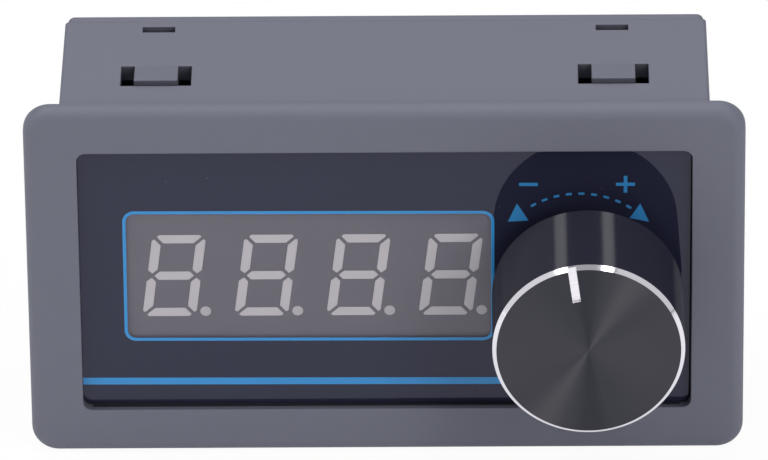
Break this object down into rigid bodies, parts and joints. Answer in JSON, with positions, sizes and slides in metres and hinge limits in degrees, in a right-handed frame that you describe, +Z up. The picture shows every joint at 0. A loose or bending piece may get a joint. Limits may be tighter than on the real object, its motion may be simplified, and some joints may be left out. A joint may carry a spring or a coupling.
{
  "type": "voltage signal generator",
  "caption": "Panel-mount voltage signal generator: snap-in housing with a digit display, a push-and-turn knob on an encoder and a rear wiring header.",
  "frame": {"origin": "centre of the panel cut-out, on the back face of the bezel", "axes": "+X to the right as seen from the front, +Y from the front to the rear, +Z up"},
  "size_m": [0.079, 0.0403, 0.043],
  "materials": {
    "housing_plastic": "fine moulded texture, matt",
    "overlay_film": "gloss printed film with a clear window",
    "display_shell": "matt grey face",
    "display_epoxy": "milky light windows",
    "tinned_brass": "tinned",
    "board_laminate": "green solder mask",
    "plated_steel": "bright plated",
    "black_moulding": "moulded",
    "nylon": "moulded",
    "knob_aluminium": "black anodised, turned, with a bright cut chamfer",
    "terminal_green": "moulded",
    "chip_epoxy": "moulded epoxy",
    "can_aluminium": "bright drawn can",
    "ferrite": "sintered",
    "ceramic": "fired ceramic"
  },
  "bodies": {
    "housing": {"front_housing": "housing_plastic", "rear_cover": "housing_plastic", "front_overlay": "overlay_film", "display_body": "display_shell", "display_segments": "display_epoxy", "display_pins": "tinned_brass", "encoder_pins": "tinned_brass", "wiring_header_pins": "tinned_brass", "circuit_board": "board_laminate", "board_screws": "plated_steel", "encoder_frame": "plated_steel", "encoder_bushing": "plated_steel", "switch_dome": "plated_steel", "encoder_washer": "plated_steel", "encoder_nut": "plated_steel", "encoder_body": "black_moulding", "wiring_header": "terminal_green", "microcontroller": "chip_epoxy", "display_driver": "chip_epoxy", "op_amp": "chip_epoxy", "voltage_regulator": "chip_epoxy", "protection_diode": "chip_epoxy", "chip_resistors": "chip_epoxy", "filter_capacitors": "can_aluminium", "inductor": "ferrite", "chip_capacitors": "ceramic"},
    "push_switch": {"encoder_plunger": "nylon"},
    "knob": {"encoder_shaft": "plated_steel", "knob": "knob_aluminium", "knob_insert": "black_moulding"}
  },
  "joints": [
    {"name": "knob_push", "type": "slide", "parent": "housing", "child": "push_switch", "axis": [0, 1, 0], "range_m": [0, 0.0005], "stiffness_N_per_m": 3000, "springref_m": -0.0007},
    {"name": "knob_turn", "type": "hinge", "parent": "push_switch", "child": "knob", "pos_m": [0.0222, -0.008, -0.00075], "axis": [0, 1, 0], "continuous": true}
  ]
}
